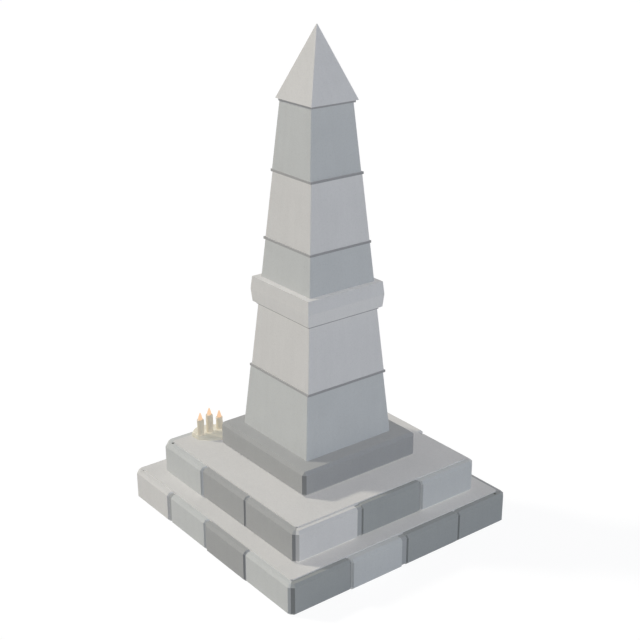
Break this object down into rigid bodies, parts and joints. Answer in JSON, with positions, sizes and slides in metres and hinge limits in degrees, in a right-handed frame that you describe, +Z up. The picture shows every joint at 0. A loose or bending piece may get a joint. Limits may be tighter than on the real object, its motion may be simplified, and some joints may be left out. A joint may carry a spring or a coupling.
{
  "type": "obelisk",
  "caption": "Stone obelisk on a stepped base: a tapering banded shaft with a bulging collar and a pyramid capstone, on a bevelled plinth, with votive candles on the upper step",
  "frame": {"origin": "middle of the foot of the lower step, on the ground", "axes": "+Z up the shaft, -Y out of the front face, +X to the right seen from the front"},
  "size_m": [2.42, 2.398, 4.333],
  "materials": {
    "dark_stone": "dressed, matt",
    "light_stone": "dressed, matt",
    "pale_stone": "dressed, matt",
    "tread_stone": "smooth, matt",
    "band_slate": "sawn, matt",
    "wax": "poured wax, satin",
    "wick": "charred cotton"
  },
  "bodies": {
    "root": {"lower_front_block_1": "pale_stone", "lower_front_block_2": "light_stone", "lower_front_block_3": "dark_stone", "lower_front_block_4": "light_stone", "lower_right_block_1": "dark_stone", "lower_right_block_2": "light_stone", "lower_right_block_3": "dark_stone", "lower_right_block_4": "dark_stone", "lower_back_block_1": "dark_stone", "lower_back_block_2": "light_stone", "lower_back_block_3": "pale_stone", "lower_back_block_4": "dark_stone", "lower_left_block_1": "dark_stone", "lower_left_block_2": "light_stone", "lower_left_block_3": "dark_stone", "lower_left_block_4": "pale_stone", "upper_front_block_1": "light_stone", "upper_front_block_2": "dark_stone", "upper_front_block_3": "dark_stone", "upper_right_block_1": "pale_stone", "upper_right_block_2": "dark_stone", "upper_right_block_3": "light_stone", "upper_back_block_1": "pale_stone", "upper_back_block_2": "pale_stone", "upper_back_block_3": "dark_stone", "upper_left_block_1": "dark_stone", "upper_left_block_2": "light_stone", "upper_left_block_3": "light_stone", "lower_core": "tread_stone", "upper_core": "tread_stone", "plinth": "dark_stone", "shaft_block_1": "light_stone", "shaft_block_2": "pale_stone", "shaft_block_3": "light_stone", "shaft_block_4": "pale_stone", "shaft_block_5": "light_stone", "joint_bands": "band_slate", "collar": "pale_stone", "capstone": "pale_stone", "wax_pool": "wax", "candle_1": "wax", "candle_2": "wax", "candle_3": "wax", "candle_wicks": "wick"}
  },
  "joints": []
}
